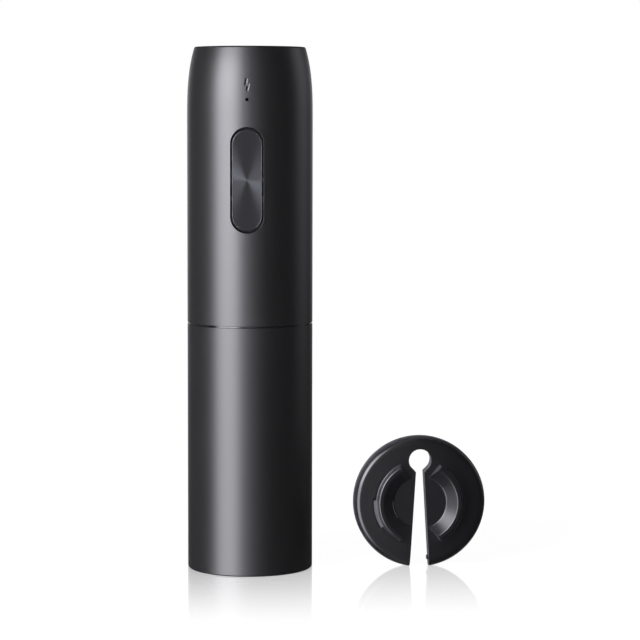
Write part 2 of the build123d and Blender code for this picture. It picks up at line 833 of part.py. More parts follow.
# Control board and what is soldered to it
board_screw_spots = []
for screw_z in (holder_z + holder_t / 2, holder_top_z + holder_t / 2):
    board_screw_spots += [(-board_screw_x, screw_z), (board_screw_x, screw_z)]

with BuildPart() as control_board:
    with BuildSketch(Plane.XZ.offset(board_back)):
        with Locations((0, (board_z + board_top) / 2)):
            Rectangle(board_w, board_top - board_z)
        with Locations(*board_screw_spots):
            Circle(board_screw_r, mode=Mode.SUBTRACT)
    extrude(amount=board_t)
save(control_board, "control_board")

with BuildPart() as control_chip:
    with BuildSketch(Plane.XZ.offset(board_front)):
        with Locations((0, chip_z)):
            Rectangle(chip_w, chip_w)
    extrude(amount=chip_t)
save(control_chip, "control_chip")

with BuildPart() as status_led:
    with BuildSketch(Plane.XZ.offset(board_front)):
        with Locations((0, led_z)):
            Rectangle(led_w, led_w)
    extrude(amount=led_t)
save(status_led, "status_led")

switch_spots = {"upper": (0, button_z + foot_span), "lower": (0, button_z - foot_span)}
with BuildPart() as switch_bodies:
    with BuildSketch(Plane.XZ.offset(board_front)):
        with Locations(*switch_spots.values()):
            Rectangle(switch_w, switch_w)
    extrude(amount=switch_h)
    with BuildSketch(Plane.XZ.offset(switch_front)):
        with Locations(*switch_spots.values()):
            Circle(plunger_r + run_gap)
    extrude(amount=-plunger_root - plunger_room, mode=Mode.SUBTRACT)
save(switch_bodies, "switch_bodies")

for name, spot in switch_spots.items():
    with BuildPart() as plunger:
        with BuildSketch(Plane.XZ.offset(switch_front - plunger_root)):
            with Locations(spot):
                Circle(plunger_r)
        extrude(amount=plunger_root + plunger_h)
    save(plunger, f"switch_plunger_{name}")

with BuildPart() as board_screws:
    with BuildSketch(Plane.XZ.offset(board_back - board_screw_bite)):
        with Locations(*board_screw_spots):
            Circle(board_screw_r)
    extrude(amount=board_screw_bite + board_t)
    with BuildSketch(Plane.XZ.offset(board_front)):
        with Locations(*board_screw_spots):
            Circle(board_screw_head_r)
    extrude(amount=board_screw_head_h)
save(board_screws, "board_screws")

# Light guide from the indicator lamp to the pinhole
led_inner_r = shoulder_r(wall, led_z - shoulder_z)
led_flange_front = sqrt(led_inner_r**2 - guide_flange_r**2) - fit_gap
with BuildPart() as light_guide:
    with BuildSketch(Plane.XZ.offset(board_front + led_t + fit_gap)):
        with Locations((0, led_z)):
            Circle(led_hole_r - fit_gap)
    extrude(amount=body_r - guide_end_gap - board_front - led_t - fit_gap)
    with BuildSketch(Plane.XZ.offset(led_flange_front - guide_flange_t)):
        with Locations((0, led_z)):
            Circle(guide_flange_r)
    extrude(amount=guide_flange_t)
save(light_guide, "light_guide")

# Charging board on the holder's columns, its socket and screws
charge_screw_x = column_x + column_t / 2
with BuildPart() as charge_board:
    with BuildSketch(Plane.XZ.offset(-charge_board_rear)):
        with Locations((0, socket_z)):
            Rectangle(charge_board_w, charge_board_h)
        with Locations((-charge_screw_x, socket_z), (charge_screw_x, socket_z)):
            Circle(board_screw_r, mode=Mode.SUBTRACT)
    extrude(amount=-charge_board_t)
save(charge_board, "charge_board")

socket_length = body_r - socket_end - charge_board_out
with BuildPart() as charge_socket:
    with BuildSketch(Plane.XZ.offset(-charge_board_out)):
        with Locations((0, socket_z)):
            SlotOverall(socket_w, socket_h)
    extrude(amount=-socket_length)
    with BuildSketch(Plane.XZ.offset(-charge_board_out - socket_length)):
        with Locations((0, socket_z)):
            SlotOverall(socket_w - 2 * socket_wall, socket_h - 2 * socket_wall)
            Rectangle(tongue_w, tongue_t, mode=Mode.SUBTRACT)
    extrude(amount=socket_depth, mode=Mode.SUBTRACT)
save(charge_socket, "charge_socket")

with BuildPart() as charge_screws:
    with BuildSketch(Plane.XZ.offset(-charge_board_out)):
        with Locations((-charge_screw_x, socket_z), (charge_screw_x, socket_z)):
            Circle(board_screw_r)
    extrude(amount=charge_board_t + board_screw_bite)
    with BuildSketch(Plane.XZ.offset(-charge_board_out)):
        with Locations((-charge_screw_x, socket_z), (charge_screw_x, socket_z)):
            Circle(board_screw_head_r)
    extrude(amount=-board_screw_head_h)
save(charge_screws, "charge_screws")

# Rocker: carrier with its pivot hub and feet, the metal plate in it, and the pin
with BuildPart() as button_carrier:
    with BuildSketch(Plane.XZ.offset(carrier_back)):
        with Locations((0, button_z)):
            SlotOverall(carrier_h, carrier_w, rotation=90)
    extrude(amount=carrier_depth)
    with BuildSketch(Plane.XZ.offset(plate_front - plate_t)):
        with Locations((0, button_z)):
            SlotOverall(plate_h, plate_w, rotation=90)
    extrude(amount=plate_t, mode=Mode.SUBTRACT)
    with BuildSketch(Plane.XZ.offset(pivot_d - pivot_hub_back)):
        with Locations((0, button_z)):
            Rectangle(pivot_hub_w, pivot_hub_h)
    extrude(amount=carrier_back - pivot_d + pivot_hub_back)
    with BuildSketch(Plane.XZ.offset(foot_end)):
        with Locations(*switch_spots.values()):
            Circle(foot_r)
    extrude(amount=carrier_back - foot_end)
    with BuildSketch(Plane.YZ.offset(-carrier_w / 2)):
        with Locations((-pivot_d, button_z)):
            Circle(pivot_pin_r + run_gap)
    extrude(amount=carrier_w, mode=Mode.SUBTRACT)
save(button_carrier, "button_carrier")

with BuildPart() as button_plate:
    with BuildSketch(Plane.XZ.offset(plate_front - plate_t)):
        with Locations((0, button_z)):
            SlotOverall(plate_h, plate_w, rotation=90)
    extrude(amount=plate_t)
    chamfer(button_plate.faces().sort_by(Axis.Y)[0].edges(), plate_break)
save(button_plate, "button_plate")

with BuildPart() as button_pin:
    with BuildSketch(Plane.YZ.offset(-ear_x - ear_t)):
        with Locations((-pivot_d, button_z)):
            Circle(pivot_pin_r)
    extrude(amount=2 * (ear_x + ear_t))
save(button_pin, "button_pin")

# Foil cutter: a disc on edge beside the opener, split by its keyhole and slot
cutter_axis = Vector(sin(cutter_yaw), -cos(cutter_yaw), 0)
cutter_face = Plane(
    origin=(cutter_x, cutter_y, cutter_z),
    x_dir=(cos(cutter_yaw), sin(cutter_yaw), 0),
    z_dir=cutter_axis,
)
cutter_spin = Axis(cutter_face.origin, cutter_axis)


def cutter_section(angle):
    """Plane through the disc's axis, with X outwards at an angle from the disc's right and Y forwards."""
    outward = cutter_face.x_dir * cos(angle) + cutter_face.y_dir * sin(angle)
    return Plane(origin=cutter_face.origin, x_dir=outward, z_dir=outward.cross(cutter_axis))


cone_slope = (jaw_top - cutter_t) / jaw_cone_w
blade_edge_top = cutter_t + (blade_edge_r - jaw_foot_in) * cone_slope + blade_proud
blade_floor = cutter_t - blade_depth
blade_strip_r = jaw_foot_out + blade_strip_gap


def blade_profile(gap, strip):
    """Section of a blade, grown by gap: cutting edge, bridge and, where it shows, the outer strip."""
    bridge_out = blade_strip_r + blade_strip_w if strip else jaw_top_in
    with Locations((blade_edge_r + blade_t / 2, (blade_floor + blade_edge_top) / 2)):
        Rectangle(blade_t + 2 * gap, blade_edge_top - blade_floor + 2 * gap)
    with Locations(((blade_edge_r + bridge_out) / 2, blade_floor + blade_t / 2)):
        Rectangle(bridge_out - blade_edge_r + 2 * gap, blade_t + 2 * gap)
    if strip:
        with Locations((blade_strip_r + blade_strip_w / 2, (blade_floor + cutter_t - blade_sunk) / 2)):
            Rectangle(blade_strip_w + 2 * gap, cutter_t - blade_sunk - blade_floor + 2 * gap)


for name, side, middle in (("left", -1, pi), ("right", 1, 0)):
    windowed = side < 0
    with BuildPart() as jaw:
        # sector with a conical inner face and rounded feet
        with BuildSketch(cutter_section(middle - jaw_sweep)):
            with BuildLine():
                FilletPolyline(
                    (jaw_foot_in - jaw_toe_r, cutter_t),
                    (jaw_foot_in, cutter_t),
                    (jaw_top_in, jaw_top),
                    (jaw_top_out, jaw_top),
                    (jaw_foot_out, cutter_t),
                    (dome_r, cutter_t),
                    radius=[jaw_toe_r, jaw_edge, jaw_crest_r, jaw_foot_r],
                )
                Polyline(
                    (dome_r, cutter_t),
                    (dome_r, cutter_t - cutter_dome),
                    (jaw_foot_in - jaw_toe_r, cutter_t - cutter_dome),
                    (jaw_foot_in - jaw_toe_r, cutter_t),
                )
            make_face()
        revolve(axis=cutter_spin, revolution_arc=degrees(2 * jaw_sweep))
        # slanted ends that lean back from the slot
        for end in (-1, 1):
            end_x = -side * sin(jaw_end_slope)
            end_y = end * cos(jaw_end_slope)
            foot = cutter_face.from_local_coords((jaw_end_off * end_x, jaw_end_off * end_y, cutter_t))
            facing = cutter_face.x_dir * end_x + cutter_face.y_dir * end_y
            end_plane = Plane(foot, z_dir=facing + cutter_axis * tan(jaw_end_draft))
            split(bisect_by=end_plane, keep=Keep.BOTTOM)

    with BuildPart() as cutter_half:
        # disc with a gently domed face and a well rounded rim
        with BuildSketch(cutter_section(0)):
            with BuildLine():
                FilletPolyline(
                    (0, 0),
                    (cutter_r, 0),
                    (cutter_r, cutter_t - cutter_dome),
                    (dome_r, cutter_t),
                    (0, cutter_t),
                    radius=[cutter_back_edge, cutter_rim_r, cutter_dome_r],
                )
                Line((0, cutter_t), (0, 0))
            make_face()
        revolve(axis=cutter_spin)
        add(jaw.part)
        # keyhole and slot
        with BuildSketch(cutter_face):
            with Locations((0, keyhole_up)):
                Circle(keyhole_r)
            with BuildLine():
                Polyline(
                    (0, keyhole_up),
                    (flare, keyhole_up - flare),
                    (throat_w / 2, throat_up),
                    (mouth_w / 2, -cutter_z),
                    (mouth_w / 2, -cutter_r),
                    (-mouth_w / 2, -cutter_r),
                    (-mouth_w / 2, -cutter_z),
                    (-throat_w / 2, throat_up),
                    (-flare, keyhole_up - flare),
                    close=True,
                )
            make_face()
        extrude(amount=jaw_top, mode=Mode.SUBTRACT)
        # pocket of the blade, and the window over its strip
        with BuildSketch(cutter_section(middle + blade_start)):
            blade_profile(blade_gap, windowed)
        revolve(axis=cutter_spin, revolution_arc=degrees(blade_sweep), mode=Mode.SUBTRACT)
        if windowed:
            window_out = blade_strip_r + blade_strip_w + blade_slit
            with BuildSketch(cutter_section(middle + blade_start - blade_notch)):
                with BuildLine():
                    Polyline(
                        (blade_strip_r - blade_gap, blade_floor - blade_gap),
                        (window_out, blade_floor - blade_gap),
                        (window_out, jaw_top),
                        (blade_strip_r - blade_gap, jaw_top),
                        close=True,
                    )
                make_face()
            window_arc = degrees(blade_sweep + blade_notch)
            revolve(axis=cutter_spin, revolution_arc=window_arc, mode=Mode.SUBTRACT)
        split_plane = Plane(
            origin=cutter_face.from_local_coords((side * hinge_gap, 0, 0)),
            z_dir=cutter_face.x_dir * side,
        )
        split(bisect_by=split_plane, keep=Keep.TOP)
        if side > 0:
            # stop at the tip of the right jaw
            with BuildSketch(cutter_face.offset(hook_back)):
                with Locations((mouth_w / 2, hook_up + hook_h / 2 - cutter_z)):
                    Rectangle(2 * hook_w, hook_h)
            extrude(amount=hook_t)
    save(cutter_half, f"foil_cutter_{name}")

    with BuildPart() as cutter_blade:
        with BuildSketch(cutter_section(middle + blade_start)):
            blade_profile(0, windowed)
        revolve(axis=cutter_spin, revolution_arc=degrees(blade_sweep))
    save(cutter_blade, f"cutter_blade_{name}")
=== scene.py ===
"""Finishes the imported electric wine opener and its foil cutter, and sets a white studio around them."""

import json
from math import cos, pi, radians, sin

import bpy
from bpy.props import FloatProperty, FloatVectorProperty, PointerProperty
from bpy.types import Operator, Panel, PropertyGroup
from mathutils import Matrix, Vector


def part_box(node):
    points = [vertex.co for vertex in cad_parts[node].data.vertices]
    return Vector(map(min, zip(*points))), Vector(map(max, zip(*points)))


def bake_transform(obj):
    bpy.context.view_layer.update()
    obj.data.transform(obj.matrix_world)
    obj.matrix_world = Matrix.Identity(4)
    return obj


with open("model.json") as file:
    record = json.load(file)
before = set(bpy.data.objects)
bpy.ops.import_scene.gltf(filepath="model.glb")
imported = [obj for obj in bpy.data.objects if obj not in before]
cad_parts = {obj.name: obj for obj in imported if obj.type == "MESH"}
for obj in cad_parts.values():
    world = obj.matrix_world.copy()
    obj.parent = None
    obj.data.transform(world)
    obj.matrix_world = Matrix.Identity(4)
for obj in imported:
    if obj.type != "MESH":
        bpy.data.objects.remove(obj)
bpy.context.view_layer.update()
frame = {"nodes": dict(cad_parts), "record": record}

bl_info = {
    "name": "Electric wine opener",
    "version": (1, 0, 0),
    "blender": (4, 5, 0),
    "location": "3D View > Sidebar > Opener",
    "description": "Finishes a packed wine opener and its foil cutter in a white studio",
    "category": "Object",
}

CUTTER_YAW = radians(5.5)  # how far the foil cutter is turned about Z
RECORD = frame["record"]
RECORD_COLOURS = {row["slot"]: row["base_color"] for row in RECORD["materials"]}


def colour_property(label, slot, colour=None):
    """A colour of one finish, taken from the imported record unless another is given."""
    return FloatVectorProperty(
        name=label,
        description=f"Base colour of the {label.lower()}",
        subtype="COLOR",
        size=3,
        min=0.0,
        max=1.0,
        default=colour or RECORD_COLOURS[slot],
    )


def length_property(label, description, metres):
    """A length in metres."""
    return FloatProperty(name=label, description=description, default=metres, unit="LENGTH", precision=5)


def angle_property(label, description, degrees):
    """An angle, given in degrees."""
    return FloatProperty(name=label, description=description, default=radians(degrees), subtype="ANGLE")


def light_property(label, description, strength):
    """A brightness, where white is 1."""
    words = f"{description}, where white is 1"
    return FloatProperty(name=label, description=words, default=strength, min=0.0)


class OpenerColours(PropertyGroup):
    """Base colours of the finishes."""

    shell_black: colour_property("Shell", "shell_black", (0.006, 0.006, 0.0065))
    frame_black: colour_property("Frame", "frame_black", (0.006, 0.006, 0.0065))
    liner_grey: colour_property("Liner", "liner_grey")
    button_metal: colour_property("Button plate", "button_metal", (0.035, 0.0357, 0.0397))
    button_edge: colour_property("Button plate's cut edge", "button_metal", (0.27, 0.27, 0.28))
    cutter_black: colour_property("Foil cutter", "cutter_black", (0.0085, 0.0085, 0.0095))
    blade_steel: colour_property("Blades", "blade_steel")
    guide_smoke: colour_property("Light guide", "guide_smoke", (0.0008, 0.0008, 0.0009))
    worm_coat: colour_property("Corkscrew", "worm_coat")
    steel: colour_property("Bright steel", "steel")
    gear_plastic: colour_property("Planet wheels", "gear_plastic")
    box_plastic: colour_property("Gearbox and holder", "box_plastic")
    bronze: colour_property("Bushes and contacts", "bronze")
    can_steel: colour_property("Motor can", "can_steel")
    magnet_iron: colour_property("Magnets and core", "magnet_iron")
    cell_wrap: colour_property("Cells", "cell_wrap")
    board_green: colour_property("Boards", "board_green")
    chip_black: colour_property("Chip and switches", "chip_black")
    led_white: colour_property("Lamp", "led_white")
    contact_gold: colour_property("Inlet's contacts", "bronze", (0.78, 0.55, 0.2))


class OpenerStudio(PropertyGroup):
    """Camera, light and floor."""

    camera_place: FloatVectorProperty(
        name="Camera place",
        description="Where the camera stands",
        subtype="TRANSLATION",
        unit="LENGTH",
        default=(0.051, -1.056, 0.1959),
    )
    camera_turn: angle_property("Camera turn", "How far the camera looks to the left", 1.14)
    camera_dip: angle_property("Camera dip", "How far the camera looks down", 4.833)
    camera_roll: angle_property("Camera roll", "How far the camera leans to its left", 0.117)
    lens: FloatProperty(
        name="Lens", description="Focal length on a 36 mm sensor, in millimetres", default=139.2, min=10.0
    )
    light_colour: FloatVectorProperty(
        name="Light colour",
        description="Colour of the wall's light",
        subtype="COLOR",
        default=(0.945, 0.935, 1.0),
    )
    wall_radius: length_property("Wall radius", "Radius of the wall of light round the set", 1.1)
    wall_tone: light_property("Wall tone", "Brightness of the wall where it is dark", 0.052)
    back_light: light_property("Back light", "Brightness of the white sheet behind the set", 1.0)
    back_half: angle_property("Back width", "Half of the angle that the white sheet takes up", 21.0)
    back_aside: angle_property("Back aside", "How far the white sheet lies to the left", 4.0)
    back_flare: angle_property("Back flare", "How much wider each side of the sheet gets per metre up", 40.0)
    back_top: length_property("Back top", "Height of the white sheet's top", 0.35)
    key_light: light_property("Key light", "Brightness of the tall light at the front left", 7.7)
    key_left: angle_property("Key left", "Bearing of the key light's left edge, from the front", -60.0)
    key_right: angle_property("Key right", "Bearing of the key light's right edge, from the front", -19.0)
    key_soft: angle_property("Key soft edge", "Half of the angle over which the key light fades", 6.0)
    key_mirror: FloatProperty(
        name="Key mirror", description="Share of the key light that comes up from the table", default=0.52
    )
    front_light: light_property("Front light", "Brightness of the faint light at the front", 0.5)
    left_light: light_property("Left light", "Brightness of the wall at the left", 0.09)
    right_light: light_property("Right light", "Brightness of the strip at the right", 0.56)
    fill: light_property("Fill", "Brightness of the room for diffuse light", 0.4)
    floor_glow: light_property("Floor glow", "Brightness of the floor in full shadow", 0.945)
    floor_mirror: FloatProperty(
        name="Floor mirror",
        description="Share of the floor that mirrors the objects where they stand",
        subtype="FACTOR",
        default=0.64,
        min=0.0,
        max=1.0,
    )
    floor_fade: length_property("Floor fade", "How far forward of the opener the floor mirrors", 0.15)


class Field:
    """A socket of a node tree, on which arithmetic adds Math nodes."""

    def __init__(self, nodes, socket):
        self.nodes = nodes
        self.socket = socket

    def math(self, operation, first, second):
        return self.nodes.add("ShaderNodeMath", {"operation": operation}, {0: first, 1: second})

    def __add__(self, other):
        return self.math("ADD", self, other)

    def __radd__(self, other):
        return self.math("ADD", other, self)

    def __sub__(self, other):
        return self.math("SUBTRACT", self, other)

    def __rsub__(self, other):
        return self.math("SUBTRACT", other, self)

    def __mul__(self, other):
        return self.math("MULTIPLY", self, other)

    def __rmul__(self, other):
        return self.math("MULTIPLY", other, self)

    def __truediv__(self, other):
        return self.math("DIVIDE", self, other)

    def __pow__(self, other):
        return self.math("POWER", self, other)


class Nodes:
    """A node tree that is written as calls and arithmetic."""

    def __init__(self, tree):
        self.tree = tree

    def add(self, kind, settings=None, sockets=None, out=0):
        """Add a node, set it up, fill or link its sockets and return one of its outputs."""
        node = self.tree.nodes.new(kind)
        for name, value in (settings or {}).items():
            setattr(node, name, value)
        for name, value in (sockets or {}).items():
            self.fill(node.inputs[name], value)
        return Field(self, node.outputs[out])

    def fill(self, socket, value):
        """Link a socket to a field, or set it to a plain value."""
        if isinstance(value, Field):
            self.tree.links.new(value.socket, socket)
        else:
            socket.default_value = value

    def place(self, centre=(0.0, 0.0, 0.0), scale=(1.0, 1.0, 1.0)):
        """The object's coordinates from a centre, scaled along each axis."""
        coordinates = self.add("ShaderNodeTexCoord", out="Object")
        moved = self.add("ShaderNodeVectorMath", {"operation": "SUBTRACT"}, {0: coordinates, 1: centre})
        return self.add("ShaderNodeMapping", {}, {"Vector": moved, "Scale": scale})

    def noise(self, place, size, detail=2.0):
        """Soft noise from 0 to 1 with features of a size in metres."""
        return self.add("ShaderNodeTexNoise", {}, {"Vector": place, "Scale": 1 / size, "Detail": detail})

    def cells(self, place, size, out):
        """Cells of a size in metres, as the distance from their middles or a colour for each."""
        return self.add("ShaderNodeTexVoronoi", {}, {"Vector": place, "Scale": 1 / size}, out)

    def stripes(self, along, pitch):
        """Soft stripes from 0 to 1 across an axis."""
        wave = self.add("ShaderNodeMath", {"operation": "SINE"}, {0: along * (2 * pi / pitch)})
        return wave * 0.5 + 0.5

    def step(self, field, low, high):
        """Smooth step of a field from 0 at low to 1 at high."""
        sockets = {"Value": field, "From Min": low, "From Max": high}
        return self.add("ShaderNodeMapRange", {"interpolation_type": "SMOOTHSTEP"}, sockets)

    def band(self, field, rise, fall):
        """Smooth step up over one span of a field and down again over another."""
        return self.step(field, *rise) * (1.0 - self.step(field, *fall))

    def mix(self, factor, first, second):
        """Blend of two colours."""
        return self.add("ShaderNodeMix", {"data_type": "RGBA"}, {0: factor, 6: first, 7: second}, out=2)

    def axes(self, place):
        """The three coordinates of a place."""
        node = self.add("ShaderNodeSeparateXYZ", {}, {0: place}).socket.node
        return [Field(self, socket) for socket in node.outputs]

    def ray(self, *kinds):
        """1 for a ray of one of these kinds, and 0 for the others."""
        path = self.add("ShaderNodeLightPath").socket.node
        told = [Field(self, path.outputs[f"Is {kind} Ray"]) for kind in kinds]
        return self.add("ShaderNodeMath", {"operation": "ADD", "use_clamp": True}, {0: sum(told), 1: 0.0})

    def show(self, surface):
        """Make a shader the material's surface."""
        self.fill(self.tree.nodes["Material Output"].inputs["Surface"], surface)


class Finish(Nodes):
    """A material with one Principled shader, whose even values are set on its own sockets."""

    def __init__(self, name, **even):
        self.material = bpy.data.materials.new(name)
        self.material.use_nodes = True
        super().__init__(self.material.node_tree)
        self.shader = self.tree.nodes["Principled BSDF"]
        for socket, value in even.items():
            self.shader.inputs[socket.replace("_", " ")].default_value = value

    def varies(self, **fields):
        """Feed fields into the shader's sockets."""
        for socket, field in fields.items():
            self.fill(self.shader.inputs[socket.replace("_", " ")], field)

    def shades(self, mask, colour, low, high):
        """A colour made darker or lighter by a mask."""
        return self.mix(mask, *[(*[channel * share for channel in colour], 1.0) for share in (low, high)])

    def bump(self, height, depth):
        """Raise the surface by a height from 0 to 1, where 1 stands for a depth in metres."""
        self.varies(Normal=self.add("ShaderNodeBump", {}, {"Height": height, "Distance": depth}))


def moulded(name, colour, roughness, grain, depth, **even):
    """Moulded plastic: fine spark-eroded grain, and a faint cloud from the flow in the mould."""
    finish = Finish(name, **even)
    place = finish.place()
    speck = finish.noise(place, grain)
    cloud = finish.noise(place, 0.03)
    finish.varies(
        Base_Color=finish.shades(cloud, colour, 0.9, 1.1),
        Roughness=cloud * 0.04 + speck * 0.04 + (roughness - 0.04),
    )
    finish.bump(speck, depth)
    return finish.material


def polished(name, colour, face, wall, painted_wall_light, axis):
    """Plastic from a polished mould, duller on its walls from being drawn out along an axis, with painted
    light making those walls paler.
    """
    finish = Finish(name, Specular_IOR_Level=0.88)
    place = finish.place()
    speck = finish.noise(place, 0.0004)
    cloud = finish.noise(place, 0.012)
    normal = finish.add("ShaderNodeNewGeometry", out="Normal")
    facing = finish.add(
        "ShaderNodeVectorMath", {"operation": "DOT_PRODUCT"}, {0: normal, 1: axis}, out="Value"
    )
    # walls that turn away from the axis: duller, and painted paler as painted light on them
    wall_dullness_and_painted_light = 1.0 - finish.step(facing.math("ABSOLUTE", facing, 0.0), 0.3, 0.95)
    finish.varies(
        Base_Color=finish.shades(wall_dullness_and_painted_light * 0.97 + cloud * 0.03, colour, 0.9, painted_wall_light),
        Roughness=wall_dullness_and_painted_light * (wall - face) + cloud * 0.04 + speck * 0.03 + (face - 0.03),
    )
    finish.bump(speck, 0.0000006)
    return finish.material


def drawn_metal(name, colour, roughness, scale, **even):
    """Metal with fine lines stretched along one axis, and a soft change of sheen."""
    finish = Finish(name, Metallic=1.0, **even)
    lines = finish.noise(finish.place(scale=scale), 0.0006, detail=3.0)
    cloud = finish.noise(finish.place(), 0.008)
    finish.varies(
        Base_Color=finish.shades(lines, colour, 0.86, 1.1),
        Roughness=lines * 0.12 + cloud * 0.08 + (roughness - 0.1),
    )
    finish.bump(lines, 0.000004)
    return finish.material


def spun_metal(name, colour, bright, centre, half_w, half_h, bead_w, slopes):
    """Dark anodised plate with round ends and a bright cut bead along its edge, turned on its face so that
    grooves round its centre throw the gloss in and out."""
    finish = Finish(name, Metallic=1.0, Roughness=0.25)
    across, _, up = finish.axes(finish.place(centre))
    face = finish.add("ShaderNodeNewGeometry", out="Normal")

    def leant(side, rise, slope):
        """The face's normal, leant by a slope towards a direction across and up the plate."""
        length = (side * side + rise * rise) ** 0.5
        towards = finish.add(
            "ShaderNodeCombineXYZ", {}, {"X": side / length * slope, "Z": rise / length * slope}
        )
        towards = finish.add("ShaderNodeVectorTransform", {"convert_to": "WORLD"}, {0: towards})
        added = finish.add("ShaderNodeVectorMath", {"operation": "ADD"}, {0: face, 1: towards})
        return finish.add("ShaderNodeVectorMath", {"operation": "NORMALIZE"}, {0: added})

    radius = (across * across + up * up) ** 0.5
    rings = finish.add("ShaderNodeTexNoise", {"noise_dimensions": "1D"}, {"W": radius, "Scale": 2500.0})
    dark = finish.shades(rings, colour, 0.85, 1.15)
    surface = None
    for count, slope in enumerate(slopes):
        sockets = {"Base Color": dark, "Metallic": 1.0, "Roughness": 0.18, "Normal": leant(across, up, slope)}
        sockets |= {"Coat Weight": 0.7, "Coat Roughness": 0.35}
        groove = finish.add("ShaderNodeBsdfPrincipled", {}, sockets)
        if surface is None:
            surface = groove
        else:
            surface = finish.add("ShaderNodeMixShader", {}, {0: 1 / (count + 1), 1: surface, 2: groove})
    # where a place lies along the round ends, and how far in from the edge
    past = up.math("MAXIMUM", up.math("ABSOLUTE", up, 0.0) - (half_h - half_w), 0.0)
    rise = past * up.math("SIGN", up, 0.0)
    inset = half_w - (across * across + past * past) ** 0.5
    bead = 1.0 - inset / bead_w
    finish.varies(
        Base_Color=finish.shades(rings, bright, 0.85, 1.15), Normal=leant(across, rise, bead * 2.4 - 1.2)
    )
    cut = Field(finish, finish.shader.outputs["BSDF"])
    finish.show(finish.add("ShaderNodeMixShader", {}, {0: finish.step(bead, 0.0, 0.1), 1: surface, 2: cut}))
    return finish.material


def sintered_metal(name, colour):
    """Pressed and sintered metal with open pores, which are painted darker as painted shade in them."""
    finish = Finish(name, Metallic=1.0)
    pores = finish.step(finish.noise(finish.place(), 0.00025), 0.56, 0.7)
    # the pores are rougher, and painted darker as painted shade in the holes
    finish.varies(Base_Color=finish.shades(pores, colour, 1.0, 0.45), Roughness=pores * 0.3 + 0.34)
    finish.bump(1.0 - pores, 0.00001)
    return finish.material


def plated_steel(name, colour):
    """Drawn steel with the faint crystals of its zinc plating."""
    finish = Finish(name, Metallic=1.0)
    place = finish.place()
    spangle, _, _ = finish.axes(finish.cells(place, 0.0035, "Color"))
    lines = finish.noise(finish.place(scale=(1.0, 1.0, 0.05)), 0.0005)
    finish.varies(
        Base_Color=finish.shades(spangle * 0.7 + lines * 0.3, colour, 0.8, 1.1),
        Roughness=spangle * 0.14 + lines * 0.06 + 0.2,
    )
    finish.bump(lines, 0.000003)
    return finish.material


def ferrite(name, colour):
    """Ground ferrite: dark and even, with small chips along it."""
    finish = Finish(name)
    place = finish.place()
    grain = finish.noise(place, 0.0004, detail=4.0)
    chips = finish.step(finish.noise(place, 0.0016), 0.62, 0.7)
    finish.varies(
        Base_Color=finish.shades(grain, colour, 0.6, 0.9),
        Roughness=grain * 0.2 + chips * 0.2 + 0.4,
    )
    finish.bump(grain - chips, 0.00002)
    return finish.material


def stacked_steel(name, colour, pitch):
    """Thin steel sheets stacked along the axis."""
    finish = Finish(name, Metallic=1.0)
    place = finish.place()
    _, _, up = finish.axes(place)
    sheets = finish.stripes(up, pitch)
    grain = finish.noise(place, 0.0005)
    finish.varies(
        Base_Color=finish.shades(sheets, colour, 0.6, 1.6),
        Roughness=grain * 0.15 + (1.0 - sheets) * 0.15 + 0.3,
    )
    finish.bump(sheets, 0.00003)
    return finish.material


def film_sleeve(name, colour, steel, low, high):
    """Shrunk film over steel cells, open over the middle of both ends."""
    finish = Finish(name)
    place = finish.place()
    _, _, up = finish.axes(place)
    bare = finish.step(up, high - 0.0006, high - 0.0004) + finish.step(low + 0.0006 - up, 0.0, 0.0002)
    wrinkles = finish.noise(finish.place(scale=(1.0, 1.0, 0.25)), 0.002, detail=3.0)
    film = finish.shades(wrinkles, colour, 0.8, 1.15)
    finish.varies(
        Base_Color=finish.mix(bare, film, (*steel, 1.0)),
        Metallic=bare,
        Roughness=wrinkles * 0.12 + bare * 0.1 + 0.22,
    )
    finish.bump(wrinkles, 0.00004)
    return finish.material


def circuit_board(name, colour, copper, pitch):
    """Solder mask over tracks that run in short lengths along and across a board, with bare pads between."""
    finish = Finish(name, Coat_Weight=0.4, Coat_Roughness=0.15)
    place = finish.place()
    across, _, up = finish.axes(place)
    blocks, turned, _ = finish.axes(finish.cells(place, 0.006, "Color"))
    lines = finish.step(finish.stripes(across, pitch), 0.6, 0.75) * finish.step(blocks, 0.45, 0.5)
    rungs = finish.step(finish.stripes(up, pitch), 0.6, 0.75) * finish.step(turned, 0.45, 0.5)
    tracks = finish.add("ShaderNodeMath", {"operation": "MAXIMUM"}, {0: lines, 1: rungs})
    pads = finish.step(0.0006 - finish.cells(place, 0.0045, "Distance") * 0.0045, 0.0, 0.00005)
    mask = finish.shades(tracks, colour, 0.8, 1.7)
    finish.varies(
        Base_Color=finish.mix(pads, mask, (*copper, 1.0)), Metallic=pads, Roughness=0.4 - tracks * 0.1
    )
    finish.bump(tracks + pads, 0.00003)
    return finish.material


def coated_steel(name, colour):
    """Non-stick coat with fine flakes on steel."""
    finish = Finish(name, Coat_Weight=0.3, Coat_Roughness=0.3)
    place = finish.place()
    flakes, _, _ = finish.axes(finish.cells(place, 0.00022, "Color"))
    runs = finish.noise(place, 0.002)
    bright = finish.step(flakes, 0.8, 1.0)
    finish.varies(
        Base_Color=finish.shades(bright, colour, 0.6, 2.2),
        Metallic=bright * 0.6,
        Roughness=runs * 0.16 + 0.26,
    )
    finish.bump(runs, 0.00002)
    return finish.material


